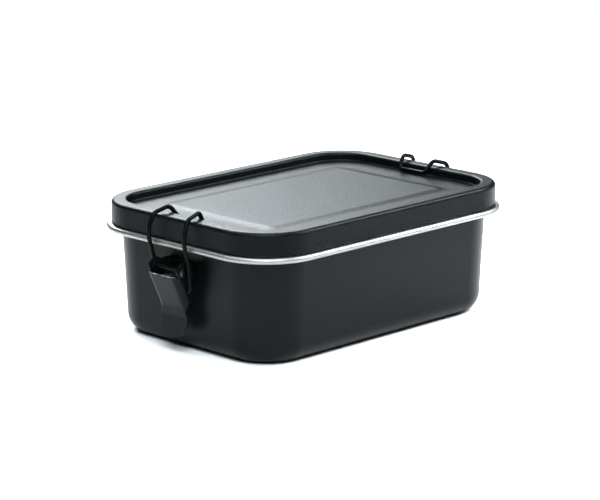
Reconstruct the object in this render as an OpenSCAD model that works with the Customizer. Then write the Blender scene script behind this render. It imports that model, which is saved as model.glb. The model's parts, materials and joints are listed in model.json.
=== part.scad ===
// Metal lunch box: a pressed steel tub with a rolled rim, a lift-off lid with a
// silicone seal, and a wire bail latch with a folded lever at each end.
// Length runs along X, width along Y, and the tub stands on z = 0.

/* [Tub] */
// Length over the rolled rim
rim_l = 170; // [140:1:220]
// Width over the rolled rim
rim_w = 120; // [100:1:160]
// Plan radius of the rim's corners
rim_corner_r = 28; // [24:1:36]
// Height of the tub, to the top of its flange
tub_h = 51; // [46:1:70]
// Thickness of the tub's sheet
tub_t = 0.6; // [0.5:0.1:0.8]
// Diameter of the bead rolled round the rim
bead_d = 2.8; // [2.4:0.1:3.2]
// Width of the flange, from the bead's edge to the wall
flange_w = 6; // [5.6:0.1:7]
// Plan radius of the walls' corners, at the flange
wall_corner_r = 24.2; // [20:0.2:26]
// How far each wall leans in from the flange to the base
wall_lean = 2.5; // [1:0.25:4]
// Fillet radius between the walls and the base
base_r = 9; // [5:0.5:12]
// Bend radius under the flange
neck_r = 1.2; // [0.8:0.1:1.5]

/* [Lid] */
// Height of the closed lid above the flange
lid_h = 10.8; // [9.5:0.1:16]
// Thickness of the lid's sheet
lid_t = 0.6; // [0.5:0.1:0.8]
// Gap between the lid's skirt and the flange
skirt_gap = 0.9; // [0.5:0.1:1.4]
// How far the skirt stands in from the rim's edge
skirt_inset = 2.2; // [1.8:0.1:2.8]
// Outer radius of the bend along the lid's edge
lid_edge_r = 1.8; // [1.2:0.1:2.4]
// Width of the raised rim
ridge_w = 7.4; // [6.6:0.1:9]
// Radius of the raised rim's inner bend
ridge_r = 1.4; // [1:0.1:2]
// Depth of the recess inside the raised rim
recess_d = 4; // [3.4:0.1:5]
// Fillet radius at the foot of the raised rim
recess_r = 0.8; // [0.4:0.1:1.2]
// Width of the level band at each end of the raised panel
band_l = 16; // [8:0.5:20]
// Width of the level band along each side of the raised panel
band_w = 13.5; // [8:0.5:16]
// Plan radius of the raised panel's corners, at its foot
panel_r = 6; // [5.5:0.5:12]
// Width of the slope round the raised panel
slope_w = 5; // [2:0.25:5]
// Rise of the raised panel above the band
panel_rise = 0.6; // [0.4:0.05:1.5]

/* [Seal] */
// Clearance beside the seal in the raised rim
seal_gap = 0.05; // [0.02:0.01:0.1]
// Width of the seal's lip
lip_w = 1.6; // [1.2:0.1:1.7]
// Thickness of the seal under the raised rim
seal_t = 3.6; // [3:0.1:5]

/* [Latch pins] */
// How far the hinge pin stands out past the rim
pin_out = 0.8; // [0.6:0.1:2]
// Drop of the hinge pin below the flange
pin_drop = 11.8; // [11:0.1:14]
// Diameter of the hinge pin
pin_d = 2; // [1.6:0.1:2.4]
// Diameter of the pin's riveted heads
head_d = 5; // [4:0.1:5.4]
// Height of the pin's riveted heads
head_h = 0.5; // [0.3:0.05:0.55]
// Radial clearance of the pin and the wire in their holes
hole_gap = 0.05; // [0.02:0.01:0.1]

/* [Latch brackets] */
// Thickness of the bracket's sheet
bracket_t = 0.8; // [0.6:0.1:1]
// Radius of the bracket's ears round the pin
bracket_ear_r = 2.8; // [2.2:0.1:3.2]
// Reach of the welded plate above the pin
bracket_up = 3.4; // [3:0.1:5]
// Reach of the welded plate below the pin
bracket_down = 5.2; // [4:0.1:6]

/* [Latch levers] */
// Width of the lever over its sides
lever_w = 19; // [16:0.5:24]
// Thickness of the lever's sheet
lever_t = 0.8; // [0.6:0.1:1]
// Gap between the lever's sides and the bracket's ears
ear_gap = 0.3; // [0.15:0.05:0.5]
// Bend radius between the lever's face and its sides
lever_bend_r = 3; // [2:0.25:3]
// Radius of the lever's ears round the pin
lever_ear_r = 4; // [3.4:0.1:4.4]
// How far the face's upper edge stands out past the pin
face_out = 5.2; // [5:0.1:6]
// Drop of the face's upper edge below the pin
face_drop = 2.2; // [2:0.1:3]
// How far the knee stands in from the pin
knee_in = 1.5; // [1:0.1:2]
// Drop of the knee below the pin
knee_drop = 17.2; // [16:0.2:20]
// Width of the thumb tab at its round end
tab_w = 17.8; // [14:0.2:19]
// Width of the thumb tab at its waist
waist_w = 16.6; // [14:0.2:18]
// Length of the thumb tab below the knee
tab_l = 14.2; // [12:0.2:17]

/* [Wire bails] */
// Diameter of the bail's wire
wire_d = 2; // [1.6:0.1:2.2]
// Step down from the wire to its feet, on the radius
foot_step = 0.1; // [0.06:0.02:0.2]
// How far the bail's feet stand in from the pin
foot_in = 2.2; // [1.8:0.1:2.6]
// Drop of the bail's feet below the pin
foot_drop = 9.2; // [8.4:0.1:10]
// Gap between the bail's legs and the lever's sides
leg_gap = 0.8; // [0.7:0.05:1.5]
// Spread of the legs beside the rim, on each side
leg_spread = 0.2; // [0:0.05:0.6]
// Draw-in of the arches, on each side
arch_draw = 1.7; // [1:0.1:2.5]
// Draw-in of the hook's bar, on each side
bar_draw = 3.3; // [2:0.1:4]
// Gap between the bail and the rim
rim_gap = 1.3; // [0.8:0.1:2]
// Gap between the hook's bar and the raised rim's inner side
hook_gap = 1.8; // [0.5:0.1:2.5]
// Gap between the hook's bar and the recess
bar_gap = 0.3; // [0.2:0.1:1]
// Gap between the hook's arch and the top of the lid
arch_gap = 1.4; // [0.8:0.1:2.5]

/* [Hidden] */

corner_x = rim_l / 2 - rim_corner_r;
corner_y = rim_w / 2 - rim_corner_r;
wall_corner_x = rim_l / 2 - flange_w - wall_corner_r;
wall_corner_y = rim_w / 2 - flange_w - wall_corner_r;
bead_u = rim_corner_r - bead_d / 2;
lap = 0.3;
lid_top = tub_h + lid_h;
recess_z = lid_top - recess_d;
skirt_z = tub_h + skirt_gap;
skirt_u = rim_corner_r - skirt_inset;
ridge_u = skirt_u - ridge_w;
lean_angle = atan(wall_lean / tub_h);
neck_z = tub_h - tub_t - neck_r;
neck_u = wall_corner_r - wall_lean * (tub_h - neck_z) / tub_h + neck_r / cos(lean_angle);

pin_x = rim_l / 2 + pin_out;
pin_z = tub_h - pin_drop;
foot_x = pin_x - foot_in;
foot_z = pin_z - foot_drop;
face_x = pin_x + face_out;
face_z = pin_z - face_drop;
knee_x = pin_x - knee_in;
knee_z = pin_z - knee_drop;
tab_z = knee_z - tab_l;
slant = atan((face_x - knee_x) / (face_z - knee_z));
face_l = norm([face_x - knee_x, face_z - knee_z]);
side_y = lever_w / 2 - lever_t;
bracket_y = side_y - ear_gap;
leg_y = lever_w / 2 + leg_gap + wire_d / 2;
foot_r = wire_d / 2 - foot_step;
shoulder_y = lever_w / 2 + leg_gap / 3;
ridge_x = corner_x + ridge_u;
panel_x = ridge_x - band_l - panel_r;
panel_y = corner_y + ridge_u - band_w - panel_r;
skirt_x = corner_x + skirt_u;
bail_x = rim_l / 2 + rim_gap + wire_d / 2;

// Points of an arc about c, from angle a to angle b
function arc(c, r, a, b, steps) = [for (i = [0:steps]) c + r * [cos(a + (b - a) * i / steps), sin(a + (b - a) * i / steps)]];

// Outside of the end wall at height z
function wall_x(z) = rim_l / 2 - flange_w - wall_lean * (tub_h - z) / tub_h;

// Outside of the wall at height z, measured from its corners' centres
function wall_u(z) = wall_x(z) - wall_corner_x;

// Corner i of a path, replaced by an arc of the given radius
function bend(path, radii, i, steps) =
    let (p = path[i])
    let (a = (path[i - 1] - p) / norm(path[i - 1] - p))
    let (b = (path[i + 1] - p) / norm(path[i + 1] - p))
    let (half = acos(a * b) / 2)
    let (mid = (a + b) / norm(a + b))
    let (centre = p + mid * radii[i] / sin(half))
    let (first = p + a * radii[i] / tan(half) - centre)
    let (side = cross(cross(first, mid), first))
    let (turn = side / norm(side) * radii[i] * (side * mid > 0 ? -1 : 1))
    [for (k = [0:steps]) centre + first * cos(k * (180 - 2 * half) / steps) + turn * sin(k * (180 - 2 * half) / steps)];

// A path with each inner corner rounded
function rounded(path, radii, steps) = [
    path[0],
    for (i = [1:len(path) - 2]) each bend(path, radii, i, steps),
    path[len(path) - 1]
];

// Direction of a path at point i
function heading(path, i) =
    let (d = path[min(i + 1, len(path) - 1)] - path[max(i - 1, 0)])
    d / norm(d);

// Side direction carried along the path, one for each point
function carried(path, i = 0, side = undef, found = []) =
    i == len(path) ? found :
    let (d = heading(path, i))
    let (s = is_undef(side) ? cross(d, [0.31, 0.17, 0.93]) : side - d * (side * d))
    carried(path, i + 1, s / norm(s), concat(found, [s / norm(s)]));

// Round wire along a path
module wire(path, d, sides) {
    across = carried(path);
    points = [
        for (i = [0:len(path) - 1])
            let (up = cross(heading(path, i), across[i]))
            for (k = [0:sides - 1])
                path[i] + d / 2 * (cos(k * 360 / sides) * across[i] + sin(k * 360 / sides) * up)
    ];
    faces = [
        [for (k = [0:sides - 1]) k],
        for (i = [0:len(path) - 2])
            for (k = [0:sides - 1])
                each [
                    [i * sides + k, (i + 1) * sides + k, (i + 1) * sides + (k + 1) % sides],
                    [i * sides + k, (i + 1) * sides + (k + 1) % sides, i * sides + (k + 1) % sides]
                ],
        [for (k = [0:sides - 1]) (len(path) - 1) * sides + sides - 1 - k]
    ];
    polyhedron(points, faces);
}

// Sweeps an outline round a rounded rectangle whose corners are centred at x and y.
// The outline's first axis is the distance out from those centres.
module sweep_round(x, y) {
    for (side = [0, 1]) {
        rotate([0, 0, 180 * side]) {
            translate([x, y, 0])
                rotate_extrude(angle = 90, $fn = 96)
                    children();
            translate([-x, y, 0])
                rotate([0, 0, 90])
                    rotate_extrude(angle = 90, $fn = 96)
                        children();
            translate([x, y, 0])
                rotate([90, 0, 0])
                    linear_extrude(2 * y)
                        children();
            rotate([0, 0, 90])
                translate([y, x, 0])
                    rotate([90, 0, 0])
                        linear_extrude(2 * x)
                            children();
        }
    }
}

// Level sheet between the corners' centres
module middle(x, y, z, t) {
    translate([-x, -y, z])
        cube([2 * x, 2 * y, t]);
}

// Rounded rectangle with corners of radius r centred at x and y
module rounded_plan(x, y, r) {
    square([2 * (x + r), 2 * y], center = true);
    square([2 * x, 2 * (y + r)], center = true);
    for (i = [-1, 1])
        for (j = [-1, 1])
            translate([i * x, j * y]) circle(r, $fn = 96);
}

// Rolled bead round the flange's edge
module bead_outline() {
    bead = [bead_u, tub_h - bead_d / 2];
    polygon([
        [bead_u - lap, tub_h - tub_t],
        each arc(bead, bead_d / 2 - tub_t, 90, -198, 16),
        each arc(bead, bead_d / 2, -198, 90, 16),
        [bead_u - lap, tub_h]
    ]);
}

// Base, wall and the bend out to the flange
module wall_outline() {
    neck = [neck_u, neck_z];
    base = [wall_u(base_r) - base_r / cos(lean_angle), base_r];
    polygon([
        [0, 0],
        each arc(base, base_r, -90, -lean_angle, 10),
        each arc(neck, neck_r, 180 - lean_angle, 90, 6),
        [neck_u + lap, tub_h - tub_t],
        [neck_u + lap, tub_h],
        each arc(neck, neck_r + tub_t, 90, 180 - lean_angle, 6),
        each arc(base, base_r - tub_t, -lean_angle, -90, 10),
        [0, tub_t]
    ]);
}

module tub() {
    color("#26272a") {
        sweep_round(corner_x, corner_y) bead_outline();
        translate([0, 0, tub_h - tub_t])
            linear_extrude(tub_t)
                difference() {
                    rounded_plan(corner_x, corner_y, bead_u - lap / 2);
                    rounded_plan(wall_corner_x, wall_corner_y, neck_u + lap / 2);
                }
        sweep_round(wall_corner_x, wall_corner_y) wall_outline();
        middle(wall_corner_x, wall_corner_y, 0, tub_t);
    }
}

module lid_outline() {
    edge = [skirt_u - lid_edge_r, lid_top - lid_edge_r];
    brow = [ridge_u + ridge_r, lid_top - ridge_r];
    foot = [ridge_u - recess_r, recess_z + recess_r];
    polygon([
        [skirt_u, skirt_z],
        each arc(edge, lid_edge_r, 0, 90, 8),
        each arc(brow, ridge_r, 90, 180, 8),
        each arc(foot, recess_r, 0, -90, 6),
        [foot[0] - lap, recess_z],
        [foot[0] - lap, recess_z - lid_t],
        each arc(foot, recess_r + lid_t, -90, 0, 6),
        each arc(brow, ridge_r - lid_t, 180, 90, 8),
        each arc(edge, lid_edge_r - lid_t, 90, 0, 8),
        [skirt_u - lid_t, skirt_z]
    ]);
}

// Slope and edge of the raised panel
module panel_outline() {
    slope = [for (k = [0:8]) [panel_r - slope_w * k / 8, recess_z + panel_rise * (1 - cos(22.5 * k)) / 2]];
    polygon([
        [panel_r + lap, recess_z],
        each slope,
        [0, recess_z + panel_rise],
        [0, recess_z + panel_rise - lid_t],
        each [for (k = [8:-1:0]) slope[k] - [0, lid_t]],
        [panel_r + lap, recess_z - lid_t]
    ]);
}

module lid() {
    color("#303134") {
        sweep_round(corner_x, corner_y) lid_outline();
        translate([0, 0, recess_z - lid_t])
            linear_extrude(lid_t)
                difference() {
                    rounded_plan(corner_x, corner_y, ridge_u - recess_r - lap / 2);
                    rounded_plan(panel_x, panel_y, panel_r + lap / 2);
                }
        sweep_round(panel_x, panel_y) panel_outline();
        middle(panel_x, panel_y, recess_z + panel_rise - lid_t, lid_t);
    }
}

module seal_outline() {
    top = lid_top - lid_t;
    outside = skirt_u - lid_t - seal_gap;
    inside = ridge_u + lid_t + seal_gap;
    polygon([
        [outside, top - lid_edge_r],
        [skirt_u - lid_edge_r, top],
        [ridge_u + ridge_r, top],
        [inside, top - ridge_r],
        [inside, top - seal_t + 0.4],
        [inside + 0.4, top - seal_t],
        [outside - lip_w - 0.8, top - seal_t],
        [outside - lip_w, top - seal_t - 0.8],
        [outside - lip_w, tub_h + 0.2],
        [outside - lip_w + 0.2, tub_h],
        [outside - 0.4, tub_h],
        [outside, tub_h + 0.6]
    ]);
}

module lid_seal() {
    color("#2b2c2e")
        sweep_round(corner_x, corner_y) seal_outline();
}

// The latches are drawn at the +X end and turned for the -X end
module latch_at(end) {
    rotate([0, 0, end == "left" ? 180 : 0]) children();
}

// Extrudes a side view, drawn in X and Z, along Y from y0 to y1
module along_y(y0, y1) {
    translate([0, y1, 0])
        rotate([90, 0, 0])
            linear_extrude(y1 - y0)
                children();
}

module bracket() {
    low = pin_z - bracket_down;
    high = pin_z + bracket_up;
    difference() {
        union() {
            along_y(-bracket_y, bracket_y)
                polygon([
                    [wall_x(low), low],
                    [wall_x(low) + bracket_t, low],
                    [wall_x(high) + bracket_t, high],
                    [wall_x(high), high]
                ]);
            for (y = [-bracket_y, bracket_y - bracket_t])
                along_y(y, y + bracket_t)
                    polygon([
                        [wall_x(low) + bracket_t / 2, low],
                        each arc([pin_x, pin_z], bracket_ear_r, -75, 75, 16),
                        [wall_x(high) + bracket_t / 2, high]
                    ]);
        }
        translate([pin_x, -lever_w, pin_z])
            rotate([-90, 0, 0])
                cylinder(h = 2 * lever_w, d = pin_d + 2 * hole_gap, $fn = 48);
    }
}

module left_bracket() {
    color("#3a3b3e") latch_at("left") bracket();
}

module right_bracket() {
    color("#3a3b3e") latch_at("right") bracket();
}

module hinge_pin() {
    translate([pin_x, 0, pin_z])
        rotate([-90, 0, 0]) {
            translate([0, 0, -lever_w / 2])
                cylinder(h = lever_w, d = pin_d, $fn = 48);
            translate([0, 0, lever_w / 2])
                cylinder(h = head_h, d1 = head_d, d2 = head_d * 0.6, $fn = 48);
            translate([0, 0, -lever_w / 2 - head_h])
                cylinder(h = head_h, d1 = head_d * 0.6, d2 = head_d, $fn = 48);
        }
}

module left_pin() {
    color("#55575a") latch_at("left") hinge_pin();
}

module right_pin() {
    color("#55575a") latch_at("right") hinge_pin();
}

// Section of the lever's channel: face across, sides running back
module channel_section() {
    r = lever_bend_r;
    w = lever_w / 2;
    depth = 2 * lever_ear_r + foot_drop;
    polygon([
        [-depth, w],
        each arc([-r, w - r], r, 90, 0, 8),
        each arc([-r, r - w], r, 0, -90, 8),
        [-depth, -w],
        [-depth, lever_t - w],
        each arc([-r, r - w], r - lever_t, -90, 0, 8),
        each arc([-r, w - r], r - lever_t, 0, 90, 8),
        [-depth, w - lever_t]
    ]);
}

module lever() {
    along = [sin(slant), cos(slant)];
    out = [cos(slant), -sin(slant)];
    knee = [knee_x, knee_z];
    face = [face_x, face_z];
    tab_x = knee_x - 0.3;
    difference() {
        intersection() {
            translate([knee_x, 0, knee_z])
                rotate([0, slant, 0])
                    linear_extrude(face_l + 2 * lever_ear_r)
                        channel_section();
            along_y(-lever_w, lever_w)
                polygon([
                    knee + out,
                    face + out,
                    face - out * 1.1,
                    each arc([pin_x, pin_z], lever_ear_r, -35, 165, 20),
                    each arc([foot_x, foot_z], wire_d / 2 + 1.8, 165, 235, 8),
                    knee - out * lever_t
                ]);
        }
        translate([pin_x, -lever_w, pin_z])
            rotate([-90, 0, 0])
                cylinder(h = 2 * lever_w, d = pin_d + 2 * hole_gap, $fn = 48);
        translate([foot_x, -lever_w, foot_z])
            rotate([-90, 0, 0])
                cylinder(h = 2 * lever_w, r = foot_r + hole_gap, $fn = 48);
    }
    intersection() {
        along_y(-lever_w, lever_w)
            polygon([
                knee + along * 2,
                knee,
                [tab_x, tab_z],
                [tab_x - lever_t, tab_z],
                knee - [lever_t, 0] * cos(slant / 2),
                knee + along * 2 - out * lever_t
            ]);
        translate([0, 0, tab_z + tab_w / 2])
            rotate([90, 0, 90])
                linear_extrude(rim_l)
                    polygon([
                        [-waist_w / 2, knee_z + 2 - tab_z - tab_w / 2],
                        [-waist_w / 2, knee_z - 1.5 - tab_z - tab_w / 2],
                        each arc([0, 0], tab_w / 2, -180, 0, 32),
                        [waist_w / 2, knee_z - 1.5 - tab_z - tab_w / 2],
                        [waist_w / 2, knee_z + 2 - tab_z - tab_w / 2]
                    ]);
    }
}

module left_lever() {
    color("#1e1f21") latch_at("left") lever();
}

module right_lever() {
    color("#1e1f21") latch_at("right") lever();
}

module bail() {
    spread_y = leg_y + leg_spread;
    bar_x = ridge_x - hook_gap - wire_d / 2;
    half = [
        [foot_x, shoulder_y, foot_z],
        [foot_x, leg_y, foot_z],
        [rim_l / 2, leg_y, tub_h - 7.8],
        [bail_x, spread_y, tub_h + 0.3],
        [bail_x, spread_y, lid_top - 5.3],
        [skirt_x + wire_d / 2 + 0.9, spread_y - 0.6, lid_top + 0.9],
        [ridge_x + 1.2, leg_y - arch_draw, lid_top + arch_gap + wire_d / 2 + 0.7],
        [bar_x, leg_y - bar_draw, recess_z + bar_gap + wire_d / 2]
    ];
    radii = [0, leg_y - shoulder_y - 0.05, 12, 5, 6, 3.5, 2, 2.2];
    last = len(half) - 1;
    path = [each half, for (i = [last:-1:0]) [half[i][0], -half[i][1], half[i][2]]];
    turns = [each radii, for (i = [last:-1:0]) radii[i]];
    wire(rounded(path, turns, 4), wire_d, 12);
    for (side = [-1, 1])
        translate([foot_x, side * (shoulder_y + side_y) / 2, foot_z])
            rotate([90, 0, 0])
                cylinder(h = shoulder_y - side_y + 1, r = foot_r, center = true, $fn = 48);
}

module left_bail() {
    color("#26272a") latch_at("left") bail();
}

module right_bail() {
    color("#26272a") latch_at("right") bail();
}

tub();
lid();
lid_seal();
left_bracket();
right_bracket();
left_pin();
right_pin();
left_lever();
right_lever();
left_bail();
right_bail();
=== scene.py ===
import json
import math

import bmesh
import bpy
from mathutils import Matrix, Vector

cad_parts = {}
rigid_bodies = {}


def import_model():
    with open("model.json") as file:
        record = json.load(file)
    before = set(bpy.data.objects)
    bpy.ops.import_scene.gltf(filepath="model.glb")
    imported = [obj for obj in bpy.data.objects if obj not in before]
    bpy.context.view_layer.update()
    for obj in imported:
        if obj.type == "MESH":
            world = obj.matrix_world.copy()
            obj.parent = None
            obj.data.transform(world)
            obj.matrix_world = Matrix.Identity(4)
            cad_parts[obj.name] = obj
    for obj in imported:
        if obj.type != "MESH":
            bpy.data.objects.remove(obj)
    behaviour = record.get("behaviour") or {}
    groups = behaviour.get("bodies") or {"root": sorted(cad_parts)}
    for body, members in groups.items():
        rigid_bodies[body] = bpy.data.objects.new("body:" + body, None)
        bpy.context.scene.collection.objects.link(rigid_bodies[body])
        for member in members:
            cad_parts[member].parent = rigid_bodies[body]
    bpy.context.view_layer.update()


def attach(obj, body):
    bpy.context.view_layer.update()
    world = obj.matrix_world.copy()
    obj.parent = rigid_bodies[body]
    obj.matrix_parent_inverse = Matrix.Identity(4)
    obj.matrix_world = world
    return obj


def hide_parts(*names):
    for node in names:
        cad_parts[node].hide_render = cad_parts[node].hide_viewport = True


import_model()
mm = 0.001  # lengths are in millimetres until they meet this
weld = 0.002 * mm  # points closer than this become one
near = 0.02  # how far off a line, in millimetres, a point may be and still count as on it


# small modelling helpers

def clearSelection():
    if bpy.context.object and bpy.context.object.mode != "OBJECT":
        bpy.ops.object.mode_set(mode="OBJECT")
    bpy.ops.object.select_all(action="DESELECT")


def selectOnly(piece):
    clearSelection()
    bpy.context.view_layer.objects.active = piece
    piece.select_set(True)


def openForEditing(piece):
    selectOnly(piece)
    bpy.ops.object.mode_set(mode="EDIT")


def startVertex(point):
    # a tiny plane merged to one vertex, ready to be extruded
    bpy.ops.mesh.select_mode(type="VERT")
    bpy.ops.mesh.primitive_plane_add(size=mm, location=point)
    bpy.ops.mesh.merge(type="CENTER")


def extendLine(points):
    for start, end in zip(points, points[1:]):
        bpy.ops.mesh.extrude_region_move(TRANSFORM_OT_translate={"value": end - start})
    bpy.ops.mesh.select_linked()


def drawLine(name, points):
    clearSelection()
    bpy.ops.mesh.primitive_plane_add(size=mm)
    piece = bpy.context.object
    piece.name = name
    piece.data.name = name
    bpy.ops.object.mode_set(mode="EDIT")
    bpy.ops.mesh.select_all(action="SELECT")
    bpy.ops.mesh.delete(type="VERT")
    startVertex(points[0])
    extendLine(points)
    return piece


def roundCorners(corners, steps):
    # corners are (x, y, z, radius); a corner with a radius becomes an arc
    points = [Vector(corner[:3]) for corner in corners]
    line = []
    for i, corner in enumerate(corners):
        radius = corner[3]
        if not radius:
            line.append(points[i] * mm)
            continue
        back = (points[i - 1] - points[i]).normalized()
        ahead = (points[i + 1] - points[i]).normalized()
        half = back.angle(ahead) / 2
        middle = (back + ahead).normalized()
        centre = points[i] + middle * radius / math.sin(half)
        first = points[i] + back * radius / math.tan(half) - centre
        last = points[i] + ahead * radius / math.tan(half) - centre
        sweep = first.angle(last)
        for k in range(steps + 1):
            turn = sweep * k / steps
            spoke = (first * math.sin(sweep - turn) + last * math.sin(turn)) / math.sin(sweep)
            line.append((centre + spoke) * mm)
    return line


def arcLine(x, z, radius, start, end, steps):
    # an arc in the X-Z plane, in degrees from +X towards +Z; the turns below hold start, end and steps
    turns = [math.radians(start + (end - start) * k / steps) for k in range(steps + 1)]
    return [Vector((x + radius * math.cos(a), 0, z + radius * math.sin(a))) * mm for a in turns]


def sweepQuarter(cornerX, cornerY, steps):
    # the selected line goes along the end, round the corner and along the side
    bpy.ops.mesh.extrude_region_move(TRANSFORM_OT_translate={"value": (0, cornerY * mm, 0)})
    bpy.ops.mesh.spin(
        steps=steps, angle=math.pi / 2, center=(cornerX * mm, cornerY * mm, 0), axis=(0, 0, -1)
    )
    bpy.ops.mesh.extrude_region_move(TRANSFORM_OT_translate={"value": (-cornerX * mm, 0, 0)})


def outFrom(cornerX, cornerY, point):
    # how far out a point is from the rounded corners' centres
    return math.hypot(max(abs(point.x) / mm - cornerX, 0), max(abs(point.y) / mm - cornerY, 0))


def pick(piece, kind, test):
    bpy.ops.mesh.select_all(action="DESELECT")
    bpy.ops.mesh.select_mode(type=kind)
    mesh = bmesh.from_edit_mesh(piece.data)
    items = {"VERT": mesh.verts, "EDGE": mesh.edges, "FACE": mesh.faces}[kind]
    for item in items:
        if test(item):
            item.select_set(True)
    bmesh.update_edit_mesh(piece.data)


def onOutline(edge, cornerX, cornerY, distance, height):
    # the edge lies on a level rounded outline
    return all(abs(outFrom(cornerX, cornerY, v.co) - distance) < near
               and abs(v.co.z / mm - height) < near for v in edge.verts)


def bridgeGap(piece, inner, outer):
    # joins two level outlines with a flat band
    pick(piece, "EDGE", lambda e: onOutline(e, *inner) or onOutline(e, *outer))
    bpy.ops.mesh.bridge_edge_loops()


def giveMaterials(piece, *materials):
    for material in materials:
        piece.data.materials.append(material)


def paintPicked(piece, index):
    piece.active_material_index = index
    bpy.ops.object.material_slot_assign()


def cleanMesh():
    bpy.ops.mesh.select_mode(type="VERT")
    bpy.ops.mesh.select_all(action="SELECT")
    bpy.ops.mesh.remove_doubles(threshold=weld)
    bpy.ops.mesh.normals_make_consistent(inside=False)


def applyModifier(piece, name, kind, **settings):
    selectOnly(piece)
    modifier = piece.modifiers.new(name, kind)
    for key, value in settings.items():
        setattr(modifier, key, value)
    bpy.ops.object.modifier_apply(modifier=modifier.name)


def cutWith(piece, cutter, operation):
    applyModifier(piece, "cut", "BOOLEAN", object=cutter, operation=operation, solver="EXACT")
    bpy.data.objects.remove(cutter, do_unlink=True)


def mirrorQuarter(piece):
    bpy.ops.object.mode_set(mode="OBJECT")
    applyModifier(piece, "quarters", "MIRROR", use_axis=(True, True, False), merge_threshold=weld)
    openForEditing(piece)
    cleanMesh()


def closeMiddle(piece, height, border):
    # fills the level opening in the middle and frames it with a narrow border
    pick(piece, "EDGE", lambda e: len(e.link_faces) == 1
         and all(abs(v.co.z / mm - height) < near for v in e.verts))
    bpy.ops.mesh.edge_face_add()
    pick(piece, "FACE", lambda f: len(f.verts) > 8)
    bpy.ops.mesh.inset(thickness=border * mm, use_even_offset=True)
    cleanMesh()
    bpy.ops.object.mode_set(mode="OBJECT")


def smoothShading(piece, degrees):
    selectOnly(piece)
    bpy.ops.object.shade_smooth_by_angle(angle=math.radians(degrees))


def weighNormals(piece):
    applyModifier(piece, "flats", "WEIGHTED_NORMAL", keep_sharp=True, weight=60)


def bevelEdges(piece, width, **settings):
    applyModifier(piece, "bevel", "BEVEL", width=width * mm, segments=2, limit_method="ANGLE",
                  angle_limit=math.radians(50), **settings)


def standFor(piece, node, body):
    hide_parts(node)
    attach(piece, body)


def turnedCopy(piece, name):
    selectOnly(piece)
    bpy.ops.object.duplicate()
    copy = bpy.context.object
    copy.name = name
    copy.data.name = name
    bpy.ops.object.mode_set(mode="EDIT")
    bpy.ops.mesh.select_all(action="SELECT")
    bpy.ops.transform.rotate(value=math.pi, orient_axis="Z", center_override=(0, 0, 0))
    bpy.ops.object.mode_set(mode="OBJECT")
    return copy


def prism(name, outline, half, material):
    # a closed side view, drawn in X and Z, pulled from -half to half along Y
    piece = drawLine(name, [Vector((p.x, -half * mm, p.z)) for p in outline])
    bpy.ops.mesh.edge_face_add()
    bpy.ops.mesh.extrude_region_move(TRANSFORM_OT_translate={"value": (0, 2 * half * mm, 0)})
    cleanMesh()
    bpy.ops.object.mode_set(mode="OBJECT")
    giveMaterials(piece, material)
    return piece


# finishes

def newFinish(name):
    material = bpy.data.materials.new(name)
    material.use_nodes = True
    nodes = material.node_tree.nodes
    shader = nodes["Principled BSDF"]
    place = nodes.new("ShaderNodeTexCoord")
    return material, nodes, material.node_tree.links, shader, place.outputs["Object"]


def addNoise(nodes, links, place, scale, detail=3.0, stretch=None):
    noise = nodes.new("ShaderNodeTexNoise")
    noise.inputs["Scale"].default_value = scale
    noise.inputs["Detail"].default_value = detail
    if stretch:
        mapping = nodes.new("ShaderNodeMapping")
        mapping.inputs["Scale"].default_value = stretch
        links.new(place, mapping.inputs["Vector"])
        place = mapping.outputs["Vector"]
    links.new(place, noise.inputs["Vector"])
    return noise.outputs["Fac"]


def addRange(nodes, links, value, low, high, start=0.35, end=0.65):
    spread = nodes.new("ShaderNodeMapRange")
    for socket, number in zip(("From Min", "From Max", "To Min", "To Max"), (start, end, low, high)):
        spread.inputs[socket].default_value = number
    links.new(value, spread.inputs["Value"])
    return spread.outputs["Result"]


def addTones(nodes, links, value, dark, light, start=0.35, end=0.65):
    ramp = nodes.new("ShaderNodeValToRGB")
    ramp.color_ramp.elements[0].position = start
    ramp.color_ramp.elements[0].color = (*dark, 1)
    ramp.color_ramp.elements[1].position = end
    ramp.color_ramp.elements[1].color = (*light, 1)
    links.new(value, ramp.inputs["Fac"])
    return ramp.outputs["Color"]


def addBump(nodes, links, shader, value, strength, distance):
    bump = nodes.new("ShaderNodeBump")
    bump.inputs["Strength"].default_value = strength
    bump.inputs["Distance"].default_value = distance * mm
    links.new(value, bump.inputs["Height"])
    links.new(bump.outputs["Normal"], shader.inputs["Normal"])


def coatedSteel(name, look):
    # baked enamel over steel: dark, fine-grained, half gloss
    material, nodes, links, shader, place = newFinish(name)
    grain = addNoise(nodes, links, place, look["grainScale"], detail=2.0)
    cloud = addNoise(nodes, links, place, look["cloudScale"], detail=1.0)
    gloss = addRange(nodes, links, cloud, *look["roughness"], start=0.15, end=0.85)
    links.new(addTones(nodes, links, grain, look["dark"], look["light"]), shader.inputs["Base Color"])
    links.new(gloss, shader.inputs["Roughness"])
    addBump(nodes, links, shader, grain, look["bump"], look["bumpDepth"])
    shader.inputs["Specular IOR Level"].default_value = look["specular"]
    return material


def bareMetal(name, look):
    # bare steel with its fine drawing or brushing lines
    material, nodes, links, shader, place = newFinish(name)
    lines = addNoise(nodes, links, place, look["lineScale"], stretch=look["stretch"])
    cloud = addNoise(nodes, links, place, look["cloudScale"])
    links.new(addTones(nodes, links, cloud, look["dark"], look["light"]), shader.inputs["Base Color"])
    links.new(addRange(nodes, links, lines, *look["roughness"]), shader.inputs["Roughness"])
    addBump(nodes, links, shader, lines, look["bump"], look["bumpDepth"])
    shader.inputs["Metallic"].default_value = look["metallic"]
    return material


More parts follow.
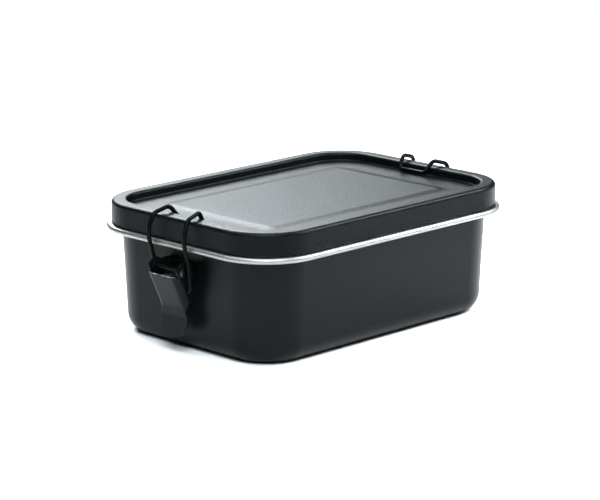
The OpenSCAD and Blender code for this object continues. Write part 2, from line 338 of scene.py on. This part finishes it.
def wornCoat(name, look):
    # the coat is rubbed through to bright steel in places
    material, nodes, links, shader, place = newFinish(name)
    wear = addNoise(nodes, links, place, look["wearScale"], detail=2.0)
    start, end = look["wear"]
    tones = addTones(nodes, links, wear, look["dark"], look["light"], start, end)
    links.new(tones, shader.inputs["Base Color"])
    links.new(addRange(nodes, links, wear, 0.0, 1.0, start, end), shader.inputs["Metallic"])
    links.new(addRange(nodes, links, wear, *look["roughness"]), shader.inputs["Roughness"])
    shader.inputs["Specular IOR Level"].default_value = look["specular"]
    return material


def siliconeRubber(name, look):
    # soft and slightly see-through at its edges
    material, nodes, links, shader, place = newFinish(name)
    cloud = addNoise(nodes, links, place, look["cloudScale"])
    links.new(addTones(nodes, links, cloud, look["dark"], look["light"]), shader.inputs["Base Color"])
    links.new(addRange(nodes, links, cloud, *look["roughness"]), shader.inputs["Roughness"])
    addBump(nodes, links, shader, cloud, look["bump"], look["bumpDepth"])
    shader.inputs["Subsurface Weight"].default_value = look["softness"]
    shader.inputs["Subsurface Scale"].default_value = look["softDepth"] * mm
    return material


finishes = {
    "tubCoat": dict(dark=(0.0022, 0.0034, 0.0042), light=(0.0050, 0.0070, 0.0084), grainScale=2600,
                    cloudScale=30, roughness=(0.33, 0.35), bump=0.06, bumpDepth=0.02, specular=0.20),
    "lidCoat": dict(dark=(0.0034, 0.0046, 0.0056), light=(0.0072, 0.0096, 0.0112), grainScale=1300,
                    cloudScale=26, roughness=(0.34, 0.36), bump=1.0, bumpDepth=0.19, specular=0.16),
    "latchCoat": dict(dark=(0.0032, 0.0044, 0.0052), light=(0.0064, 0.0086, 0.0100), grainScale=3000,
                      cloudScale=60, roughness=(0.32, 0.38), bump=0.10, bumpDepth=0.02, specular=0.20),
    "wireCoat": dict(dark=(0.0030, 0.0033, 0.0036), light=(0.0060, 0.0065, 0.0070), grainScale=3000,
                     cloudScale=90, roughness=(0.28, 0.36), bump=0.08, bumpDepth=0.02, specular=0.10),
    "rimSteel": dict(dark=(0.36, 0.354, 0.35), light=(0.42, 0.415, 0.41), lineScale=500,
                     cloudScale=35, stretch=(1, 1, 6), roughness=(0.46, 0.52), bump=0.02, bumpDepth=0.02,
                     metallic=1.0),
    "insideSteel": dict(dark=(0.50, 0.50, 0.51), light=(0.60, 0.60, 0.61), lineScale=260,
                        cloudScale=35, stretch=(1, 14, 14), roughness=(0.26, 0.38), bump=0.06, bumpDepth=0.02,
                        metallic=1.0),
    "wornEdge": dict(dark=(0.006, 0.0065, 0.007), light=(0.34, 0.34, 0.34), wearScale=330,
                     wear=(0.44, 0.60), roughness=(0.30, 0.38), specular=0.3),
    "pinSteel": dict(dark=(0.050, 0.052, 0.055), light=(0.085, 0.087, 0.090), lineScale=1800,
                     cloudScale=35, stretch=(1, 0.2, 1), roughness=(0.28, 0.40), bump=0.08, bumpDepth=0.02,
                     metallic=1.0),
    # the seal's near-black tone is painted shade: it darkens the gap between the lid skirt and the rim, where
    # shadow falls
    "silicone": dict(dark=(0.012, 0.012, 0.013), light=(0.020, 0.020, 0.021), cloudScale=120,
                     roughness=(0.42, 0.55), bump=0.15, bumpDepth=0.05, softness=0.35, softDepth=2.0),
}
tubCoat = coatedSteel("tubCoat", finishes["tubCoat"])
lidCoat = coatedSteel("lidCoat", finishes["lidCoat"])
latchCoat = coatedSteel("latchCoat", finishes["latchCoat"])
wireCoat = coatedSteel("wireCoat", finishes["wireCoat"])
rimSteel = bareMetal("rimSteel", finishes["rimSteel"])
insideSteel = bareMetal("insideSteel", finishes["insideSteel"])
wornEdge = wornCoat("wornEdge", finishes["wornEdge"])
pinSteel = bareMetal("pinSteel", finishes["pinSteel"])
silicone = siliconeRubber("silicone", finishes["silicone"])
print("finishes ready")


# tub

rim = dict(halfLength=85.0, halfWidth=60.0, cornerRadius=28.0, cornerSteps=28)
rim["cornerX"] = rim["halfLength"] - rim["cornerRadius"]
rim["cornerY"] = rim["halfWidth"] - rim["cornerRadius"]

tubSizes = dict(height=51.0, sheet=0.6, beadRadius=1.4, flange=6.0, wallCorner=24.2, lean=2.5,
                baseStart=8.0, baseRadius=9.0, neckRadius=1.2, bendSteps=12, flangeWidth=3.4,
                beadFlat=0.8, beadTurn=(90, -198, 26), baseBorder=1.0, bareInset=0.2, bareDepth=3.2,
                smooth=35)
tubSizes["cornerX"] = rim["halfLength"] - tubSizes["flange"] - tubSizes["wallCorner"]
tubSizes["cornerY"] = rim["halfWidth"] - tubSizes["flange"] - tubSizes["wallCorner"]


def wallX(z):
    # the end wall's outer face leans in towards the base
    drop = (tubSizes["height"] - z) / tubSizes["height"]
    return rim["halfLength"] - tubSizes["flange"] - tubSizes["lean"] * drop


def buildTub():
    sheet = tubSizes["sheet"]
    top = tubSizes["height"]
    beadRadius = tubSizes["beadRadius"]
    lean = math.atan(tubSizes["lean"] / top)
    inside = sheet / math.cos(lean)
    beadU = rim["cornerRadius"] - beadRadius
    wallTopX = wallX(top) - inside
    flangeX = wallTopX + tubSizes["flangeWidth"]
    # the inner side of the sheet, from the base up to the flange
    wallLine = roundCorners([
        (tubSizes["cornerX"] + tubSizes["baseStart"], 0, sheet, 0),
        (wallX(sheet) - inside, 0, sheet, tubSizes["baseRadius"] - sheet),
        (wallTopX, 0, top, tubSizes["neckRadius"] + sheet),
        (flangeX, 0, top, 0),
    ], tubSizes["bendSteps"])
    piece = drawLine("tubShell", wallLine)
    sweepQuarter(tubSizes["cornerX"], tubSizes["cornerY"], rim["cornerSteps"])
    # the flange's outer part and the bead rolled under it
    beadX = rim["cornerX"] + beadU
    beadLine = [Vector((beadX - tubSizes["beadFlat"], 0, top)) * mm]
    beadLine += arcLine(beadX, top - beadRadius, beadRadius, *tubSizes["beadTurn"])
    startVertex(beadLine[0])
    extendLine(beadLine)
    sweepQuarter(rim["cornerX"], rim["cornerY"], rim["cornerSteps"])
    bridgeGap(piece, (tubSizes["cornerX"], tubSizes["cornerY"], flangeX - tubSizes["cornerX"], top),
              (rim["cornerX"], rim["cornerY"], beadU - tubSizes["beadFlat"], top))
    mirrorQuarter(piece)
    closeMiddle(piece, sheet, tubSizes["baseBorder"])
    giveMaterials(piece, insideSteel, tubCoat, rimSteel)  # slots 0, 1 and 2
    applyModifier(piece, "sheet", "SOLIDIFY", thickness=sheet * mm, offset=-1.0, use_even_offset=True,
                  material_offset=1, material_offset_rim=1)
    # the bead is bare steel
    openForEditing(piece)
    bareU = beadU - tubSizes["bareInset"]
    pick(piece, "FACE", lambda f: f.material_index == 0
         and outFrom(rim["cornerX"], rim["cornerY"], f.calc_center_median()) > bareU
         and f.calc_center_median().z / mm > top - tubSizes["bareDepth"])
    paintPicked(piece, 2)
    bpy.ops.object.mode_set(mode="OBJECT")
    smoothShading(piece, tubSizes["smooth"])
    weighNormals(piece)
    standFor(piece, "tub", "box")
    return piece


tubShell = buildTub()
print("tub ready", len(tubShell.data.polygons))


# lid and its seal

lidSizes = dict(height=10.8, sheet=0.6, skirtGap=0.9, skirtInset=2.2, edgeRadius=1.8, ridge=7.4,
                ridgeRadius=1.4, recess=4.0, footRadius=0.8, bandEnd=16.0, bandSide=13.5, panelRadius=6.0,
                slope=5.0, slopeBend=26.0, slopeEase=0.4, footMargin=1.6, crestMargin=0.6, rise=0.6,
                bendSteps=8, slopeSteps=6, panelBorder=0.2, smooth=35)
lidSizes["top"] = tubSizes["height"] + lidSizes["height"]
lidSizes["skirtX"] = rim["halfLength"] - lidSizes["skirtInset"]
lidSizes["ridgeX"] = lidSizes["skirtX"] - lidSizes["ridge"]


def buildLid():
    top = lidSizes["top"]
    floor = top - lidSizes["recess"]
    ridge = lidSizes["ridgeX"]
    ringU = ridge - rim["cornerX"] - lidSizes["footRadius"] - lidSizes["crestMargin"]
    panelX = ridge - lidSizes["bandEnd"] - lidSizes["panelRadius"]
    panelY = rim["cornerY"] + ridge - rim["cornerX"] - lidSizes["bandSide"] - lidSizes["panelRadius"]
    panelTop = floor + lidSizes["rise"]
    line = roundCorners([
        (rim["cornerX"] + ringU, 0, floor, 0),
        (ridge, 0, floor, lidSizes["footRadius"]),
        (ridge, 0, top, lidSizes["ridgeRadius"]),
        (lidSizes["skirtX"], 0, top, lidSizes["edgeRadius"]),
        (lidSizes["skirtX"], 0, tubSizes["height"] + lidSizes["skirtGap"], 0),
    ], lidSizes["bendSteps"])
    piece = drawLine("lidShell", line)
    sweepQuarter(rim["cornerX"], rim["cornerY"], rim["cornerSteps"])
    # the raised panel, with corners of its own
    footX = panelX + lidSizes["panelRadius"]
    crestX = footX - lidSizes["slope"]
    panelLine = roundCorners([
        (crestX - lidSizes["crestMargin"], 0, panelTop, 0),
        (crestX + lidSizes["slopeEase"], 0, panelTop, lidSizes["slopeBend"] / 2),
        (footX - lidSizes["slopeEase"], 0, floor, lidSizes["slopeBend"]),
        (footX + lidSizes["footMargin"], 0, floor, 0),
    ], lidSizes["slopeSteps"])
    startVertex(panelLine[0])
    extendLine(panelLine)
    sweepQuarter(panelX, panelY, rim["cornerSteps"])
    bridgeGap(piece, (panelX, panelY, lidSizes["panelRadius"] + lidSizes["footMargin"], floor),
              (rim["cornerX"], rim["cornerY"], ringU, floor))
    mirrorQuarter(piece)
    closeMiddle(piece, panelTop, lidSizes["panelBorder"])
    giveMaterials(piece, lidCoat, insideSteel)  # slots 0 and 1
    applyModifier(piece, "sheet", "SOLIDIFY", thickness=lidSizes["sheet"] * mm, offset=-1.0,
                  use_even_offset=True, material_offset=1, material_offset_rim=0)
    smoothShading(piece, lidSizes["smooth"])
    weighNormals(piece)
    standFor(piece, "lid", "lid")
    return piece


sealSizes = dict(gap=0.05, thickness=3.6, lip=1.6, shoulder=2.0, outerBend=1.4, innerBend=1.2, lowBend=0.4,
                 throatBend=0.8, lipBend=0.3, bendSteps=5, smooth=40)


def buildSeal():
    under = lidSizes["top"] - lidSizes["sheet"]
    outside = lidSizes["skirtX"] - lidSizes["sheet"] - sealSizes["gap"]
    inside = lidSizes["ridgeX"] + lidSizes["sheet"] + sealSizes["gap"]
    shoulder = outside - sealSizes["shoulder"]
    lip = outside - sealSizes["lip"]
    belly = under - sealSizes["thickness"]
    low = tubSizes["height"]
    line = roundCorners([
        (shoulder, 0, under, 0),
        (inside, 0, under, sealSizes["innerBend"]),
        (inside, 0, belly, sealSizes["lowBend"]),
        (lip, 0, belly, sealSizes["throatBend"]),
        (lip, 0, low, sealSizes["lipBend"]),
        (outside, 0, low, sealSizes["lowBend"]),
        (outside, 0, under, sealSizes["outerBend"]),
        (shoulder, 0, under, 0),
    ], sealSizes["bendSteps"])
    piece = drawLine("sealRing", line)
    sweepQuarter(rim["cornerX"], rim["cornerY"], rim["cornerSteps"])
    mirrorQuarter(piece)
    bpy.ops.object.mode_set(mode="OBJECT")
    # the seal's near-black finish paints the shade in the gap under the lid skirt
    giveMaterials(piece, silicone)
    smoothShading(piece, sealSizes["smooth"])
    weighNormals(piece)
    standFor(piece, "lid_seal", "lid")
    return piece


lidShell = buildLid()
sealRing = buildSeal()
print("lid and seal ready", len(lidShell.data.polygons), len(sealRing.data.polygons))


# latches, modelled at the right end and turned for the left

latch = dict(pinX=85.8, pinZ=39.2, pinRadius=1.0, footX=83.6, footZ=30.0, footRadius=0.9, wireRadius=1.0,
             holeGap=0.05, drillSides=40, drillLength=30.0, trimHalf=12.0)


def drillAcross(piece, x, z, radius):
    clearSelection()
    bpy.ops.mesh.primitive_cylinder_add(
        vertices=latch["drillSides"], radius=(radius + latch["holeGap"]) * mm,
        depth=latch["drillLength"] * mm, location=(x * mm, 0, z * mm), rotation=(math.pi / 2, 0, 0)
    )
    drill = bpy.context.object
    bpy.ops.object.transform_apply(location=True, rotation=True, scale=True)
    giveMaterials(drill, latchCoat)
    cutWith(piece, drill, "DIFFERENCE")


def smoothStep(value):
    value = min(max(value, 0), 1)
    return value * value * (3 - 2 * value)


def alongLine(points, distance):
    # the place and the direction at a distance along a line
    for start, end in zip(points, points[1:]):
        reach = (end - start).length
        if distance <= reach:
            break
        distance -= reach
    heading = (end - start).normalized()
    return start + heading * distance, heading


lever = dict(
    width=19.0, sheet=0.8, bend=3.0, earRadius=4.0,
    # the side line: the slanted face, the knee, a slight fold and the tab
    faceX=91.0, faceZ=37.0, topRun=5.0, lineSpare=0.5,
    kneeX=84.0, kneeZ=21.6, kneeRadius=10.0, foldX=83.4, foldZ=17.4, foldRadius=1.2,
    tabX=84.3, tabZ=7.8, tabWidth=17.8, waistWidth=15.8, waistEnd=1.5,
    # above the waist the sheet flares out into the sides, which fold back
    sideWidth=24.0, flare=0.45, flarePower=1.6, flareStart=1.0, foldStart=3.0, foldRun=4.0, tabFold=0.05,
    # the side view that the folded sheet is trimmed to
    clearance=6.0, faceEdge=2.0, earEdge=1.1, earTurn=(-35, 165, 24), footEdge=1.8,
    footTurn=(165, 235, 10), throatUp=1.5, throatIn=1.6,
    backDepth=1.3, wornWidth=0.2, bendSteps=12, roundRows=14, straightRows=44, firstRow=0.1, columns=110,
    smooth=30,
)


def buildLever():
    face = Vector((lever["faceX"], 0, lever["faceZ"]))
    knee = Vector((lever["kneeX"], 0, lever["kneeZ"]))
    tip = Vector((lever["tabX"], 0, lever["tabZ"]))
    slope = (face - knee).normalized()
    out = Vector((slope.z, 0, -slope.x))
    tabHalf = lever["tabWidth"] / 2
    waist = lever["waistWidth"] / 2
    flat = lever["width"] / 2 - lever["bend"]
    tabLength = (knee - tip).length
    sideView = roundCorners([
        (*tip, 0),
        (lever["foldX"], 0, lever["foldZ"], lever["foldRadius"]),
        (*knee, lever["kneeRadius"]),
        (*(face + slope * (lever["topRun"] + lever["lineSpare"])), 0),
    ], lever["bendSteps"])
    # rows of points from the tab's tip upwards, closer together at the tip
    tipRows = lever["roundRows"]
    topRows = lever["straightRows"]
    last = tabLength + (face - knee).length + lever["topRun"]
    rows = [tabHalf * (1 - math.cos(math.pi / 2 * (k + lever["firstRow"]) / tipRows)) for k in range(tipRows)]
    rows += [tabHalf + (last - tabHalf) * k / topRows for k in range(topRows + 1)]

    def halfWidth(distance):
        # along the flattened sheet: round tip, waist, then the sides that fold back
        if distance < tabHalf:
            return math.sqrt(tabHalf ** 2 - (tabHalf - distance) ** 2)
        toWaist = smoothStep((distance - tabHalf) / (tabLength - tabHalf - lever["waistEnd"]))
        neck = tabHalf + (waist - tabHalf) * toWaist
        flared = max(distance - tabLength + lever["flareStart"], 0) ** lever["flarePower"]
        return min(neck + lever["flare"] * flared, lever["sideWidth"])

    def platePoint(distance, share):
        centre, heading = alongLine(sideView, distance * mm)
        outward = Vector((heading.z, 0, -heading.x))
        folding = distance - tabLength + lever["foldStart"]
        fold = max(smoothStep(folding / lever["foldRun"]), lever["tabFold"])
        radius = lever["bend"] / fold
        reach = abs(share) * halfWidth(distance)
        turn = min(max(reach - flat, 0) / radius, math.pi / 2)
        beyond = max(reach - flat - radius * math.pi / 2, 0)
        side = math.copysign(min(reach, flat) + radius * math.sin(turn), share)
        depth = radius * (1 - math.cos(turn)) + beyond
        return centre + Vector((0, side, 0)) * mm - outward * depth * mm

    def atBack(middle):
        behind = (middle / mm - knee).dot(out) < -lever["backDepth"] and middle.z / mm > lever["kneeZ"]
        return behind or middle.x / mm < lever["tabX"] - lever["backDepth"]

    # a flat grid from -1 to 1, bent row by row into the folded sheet
    clearSelection()
    bpy.ops.mesh.primitive_grid_add(x_subdivisions=lever["columns"], y_subdivisions=len(rows) - 1, size=2)
    piece = bpy.context.object
    piece.name = "leverPlate"
    piece.data.name = "leverPlate"
    for vertex in piece.data.vertices:
        row = round((vertex.co.y + 1) / 2 * (len(rows) - 1))
        vertex.co = platePoint(rows[row], vertex.co.x)
    openForEditing(piece)
    bpy.ops.mesh.select_all(action="SELECT")
    bpy.ops.mesh.remove_doubles(threshold=weld)
    bpy.ops.object.mode_set(mode="OBJECT")
    giveMaterials(piece, latchCoat, wornEdge)  # slots 0 and 1
    applyModifier(piece, "sheet", "SOLIDIFY", thickness=lever["sheet"] * mm, offset=-1.0)
    # the side view: face, ears round the pin and the wire's feet, and room for the tab
    clear = lever["clearance"]
    front = [tip + Vector((clear, 0, -clear / 2)), knee + Vector((clear, 0, 0)),
             face + out * lever["faceEdge"], face - out * lever["earEdge"]]
    back = [knee - slope * lever["throatUp"] - out * lever["throatIn"], tip + Vector((-clear, 0, clear)),
            tip + Vector((-clear, 0, -clear / 2))]
    footRadius = latch["wireRadius"] + lever["footEdge"]
    trim = [point * mm for point in front]
    trim += arcLine(latch["pinX"], latch["pinZ"], lever["earRadius"], *lever["earTurn"])
    trim += arcLine(latch["footX"], latch["footZ"], footRadius, *lever["footTurn"])
    trim += [point * mm for point in back]
    cutWith(piece, prism("trim", trim, latch["trimHalf"], wornEdge), "INTERSECT")
    drillAcross(piece, latch["pinX"], latch["pinZ"], latch["pinRadius"])
    drillAcross(piece, latch["footX"], latch["footZ"], latch["footRadius"])
    bevelEdges(piece, lever["wornWidth"], material=1)
    # the ears and the back keep their coat
    openForEditing(piece)
    pick(piece, "FACE", lambda f: atBack(f.calc_center_median()))
    paintPicked(piece, 0)
    bpy.ops.object.mode_set(mode="OBJECT")
    smoothShading(piece, lever["smooth"])
    weighNormals(piece)
    return piece


bracket = dict(up=3.4, down=5.2, earRadius=2.8, earGap=0.3, earReach=10.0, earTurn=(-75, 75, 18), sheet=0.8,
               bend=1.3, bendSteps=6, plateEdge=0.9, behind=1.0, softWidth=0.1, smooth=30)


def buildBracket():
    low = latch["pinZ"] - bracket["down"]
    high = latch["pinZ"] + bracket["up"]
    side = lever["width"] / 2 - lever["sheet"] - bracket["earGap"]
    corners = [
        (wallX(low) + bracket["earReach"], -side, low, 0),
        (wallX(low), -side, low, bracket["bend"]),
        (wallX(low), side, low, bracket["bend"]),
        (wallX(low) + bracket["earReach"], side, low, 0),
    ]
    piece = drawLine("bracketPlate", roundCorners(corners, bracket["bendSteps"]))
    rise = ((wallX(high) - wallX(low)) * mm, 0, (high - low) * mm)
    bpy.ops.mesh.extrude_region_move(TRANSFORM_OT_translate={"value": rise})
    cleanMesh()
    bpy.ops.object.mode_set(mode="OBJECT")
    giveMaterials(piece, latchCoat)
    applyModifier(piece, "sheet", "SOLIDIFY", thickness=bracket["sheet"] * mm, offset=-1.0,
                  use_even_offset=True)
    # the side view: a narrow plate on the wall and a round ear at each side
    trim = [Vector((wallX(low) - bracket["behind"], 0, low)) * mm]
    trim += [Vector((wallX(low) + bracket["plateEdge"], 0, low)) * mm]
    trim += arcLine(latch["pinX"], latch["pinZ"], bracket["earRadius"], *bracket["earTurn"])
    trim += [Vector((wallX(high) + bracket["plateEdge"], 0, high)) * mm]
    trim += [Vector((wallX(high) - bracket["behind"], 0, high)) * mm]
    cutWith(piece, prism("trim", trim, latch["trimHalf"], latchCoat), "INTERSECT")
    drillAcross(piece, latch["pinX"], latch["pinZ"], latch["pinRadius"])
    bevelEdges(piece, bracket["softWidth"])
    smoothShading(piece, bracket["smooth"])
    return piece


# the crown of the pin's head is given as shares of its radius and drops below its top
pin = dict(headRadius=2.5, headHeight=0.5, turnSteps=36, smooth=40,
           crown=[(0, 0), (0.3, 0.02), (0.55, 0.08), (0.78, 0.2), (0.93, 0.36), (1, 0.46)])


def buildPin():
    half = lever["width"] / 2
    end = half + pin["headHeight"]
    head = pin["headRadius"]
    shape = [(head * share, end - drop) for share, drop in pin["crown"]]
    shape += [(head, half), (latch["pinRadius"], half)]
    shape += [(r, -y) for r, y in reversed(shape)]
    points = [Vector(((latch["pinX"] + r), y, latch["pinZ"])) * mm for r, y in shape]
    piece = drawLine("hingePin", points)
    bpy.ops.mesh.spin(
        steps=pin["turnSteps"], angle=2 * math.pi, center=(latch["pinX"] * mm, 0, latch["pinZ"] * mm),
        axis=(0, 1, 0)
    )
    cleanMesh()
    bpy.ops.object.mode_set(mode="OBJECT")
    giveMaterials(piece, pinSteel)
    smoothShading(piece, pin["smooth"])
    return piece


# bends of one leg, from its foot up over the rim to the hook's bar: x, y, z, bend radius
wire = dict(bends=[
    (latch["footX"], 8.25, latch["footZ"], 0),
    (latch["footX"], 9.74, latch["footZ"], 0),
    (latch["footX"], 9.84, latch["footZ"], 0),
    (latch["footX"], 11.3, latch["footZ"], 1.4),
    (85.0, 11.3, 43.2, 12),
    (87.3, 11.5, 51.3, 5),
    (87.3, 11.5, 56.5, 6),
    (84.7, 10.9, 62.7, 3.8),
    (76.6, 9.6, 64.9, 3.0),
    (72.6, 8.0, 59.1, 2.2),
], bendSteps=9, roundSteps=6, smooth=40)


def buildWire():
    half = wire["bends"]
    corners = half + [(x, -y, z, r) for x, y, z, r in reversed(half)]
    piece = drawLine("bailWire", roundCorners(corners, wire["bendSteps"]))
    bpy.ops.object.mode_set(mode="OBJECT")
    bpy.ops.object.convert(target="CURVE")
    piece = bpy.context.object
    piece.data.dimensions = "3D"
    piece.data.bevel_depth = latch["wireRadius"] * mm
    piece.data.bevel_resolution = wire["roundSteps"]
    piece.data.use_fill_caps = True
    # the feet are turned down to fit the holes in the lever
    ends = piece.data.splines[0].points
    for i in (0, 1, len(ends) - 2, len(ends) - 1):
        ends[i].radius = latch["footRadius"] / latch["wireRadius"]
    bpy.ops.object.convert(target="MESH")
    piece = bpy.context.object
    openForEditing(piece)
    cleanMesh()
    bpy.ops.object.mode_set(mode="OBJECT")
    giveMaterials(piece, wireCoat)
    smoothShading(piece, wire["smooth"])
    return piece


def placeLatch(piece, part, leftBody, rightBody):
    other = turnedCopy(piece, piece.name + "Left")
    piece.name = piece.name + "Right"
    standFor(other, "left_" + part, leftBody)
    standFor(piece, "right_" + part, rightBody)


placeLatch(buildBracket(), "bracket", "box", "box")
placeLatch(buildPin(), "pin", "box", "box")
placeLatch(buildLever(), "lever", "left_lever", "right_lever")
placeLatch(buildWire(), "bail", "left_bail", "right_bail")
print("latches ready")


# floor, light and camera

studio = dict(floorSize=8.0, floorTone=0.92, floorSpread=0.02, floorCloud=3.0, floorRoughness=0.6,
              floorSpecular=0.2, worldTone=(0.92, 0.97, 1.0), worldStrength=0.02,
              lightTone=(0.93, 0.98, 1.0), cameraPlace=(-0.8511, -0.8410, 0.3285), lookAt=(0, 0, 0.030),
              lens=159.33, sensor=36.0, shiftX=-0.01013, shiftY=0.00918, clipEnd=30.0, gamma=0.8)
# name: place, what it points at, width, height, power
lights = {
    "overLight": ((0, 0, 0.55), (0, 0, 0), 0.3, 0.3, 1.5),
    "frontLight": ((-0.45, -0.45, 0.70), (-0.05, -0.05, 0), 0.5, 0.5, 9.0),
    "leftLight": ((-0.22, 0.10, 0.35), (-0.15, 0.06, 0), 0.15, 0.15, 0.5),
    "rightLight": ((0.40, -0.30, 0.40), (0.22, -0.18, 0), 0.3, 0.3, 5.4),
    "backLight": ((0.25, 0.60, 0.55), (0, 0, 0.06), 0.5, 0.4, 5.6),
    "lowBackLight": ((0.63, 0.88, 0.55), (-0.02, 0, 0.06), 0.65, 0.4, 5.0),
    "farLight": ((0.75, 1.35, 1.3), (0, 0, 0.06), 1.0, 0.9, 13.5),
    "floorLight": ((-1.7, -1.7, 1.7), (-1.7, -1.7, 0), 2.0, 2.0, 30),
}


def buildStudio():
    clearSelection()
    bpy.ops.mesh.primitive_plane_add(size=studio["floorSize"])
    floor = bpy.context.object
    floor.name = "floor"
    material, nodes, links, shader, place = newFinish("floorPaper")
    dark = (studio["floorTone"],) * 3
    light = (studio["floorTone"] + studio["floorSpread"],) * 3
    cloud = addNoise(nodes, links, place, studio["floorCloud"])
    links.new(addTones(nodes, links, cloud, dark, light), shader.inputs["Base Color"])
    shader.inputs["Roughness"].default_value = studio["floorRoughness"]
    shader.inputs["Specular IOR Level"].default_value = studio["floorSpecular"]
    giveMaterials(floor, material)

    world = bpy.data.worlds.new("studio")
    world.use_nodes = True
    bpy.context.scene.world = world
    background = world.node_tree.nodes["Background"]
    background.inputs["Color"].default_value = (*studio["worldTone"], 1)
    background.inputs["Strength"].default_value = studio["worldStrength"]

    for name, (place, target, width, height, power) in lights.items():
        aim = (Vector(target) - Vector(place)).to_track_quat("-Z", "Y").to_euler()
        bpy.ops.object.light_add(type="AREA", location=place, rotation=aim)
        light = bpy.context.object
        light.name = name
        light.data.shape = "RECTANGLE"
        light.data.size = width
        light.data.size_y = height
        light.data.energy = power
        light.data.color = studio["lightTone"]

    place = Vector(studio["cameraPlace"])
    toward = Vector(studio["lookAt"]) - place
    bpy.ops.object.camera_add(location=place, rotation=toward.to_track_quat("-Z", "Y").to_euler())
    camera = bpy.context.object
    camera.data.lens = studio["lens"]
    camera.data.sensor_width = studio["sensor"]
    camera.data.shift_x = studio["shiftX"]
    camera.data.shift_y = studio["shiftY"]
    camera.data.clip_end = studio["clipEnd"]
    bpy.context.scene.camera = camera
    bpy.context.scene.view_settings.view_transform = "Standard"
    bpy.context.scene.view_settings.gamma = studio["gamma"]


buildStudio()
print("studio ready")
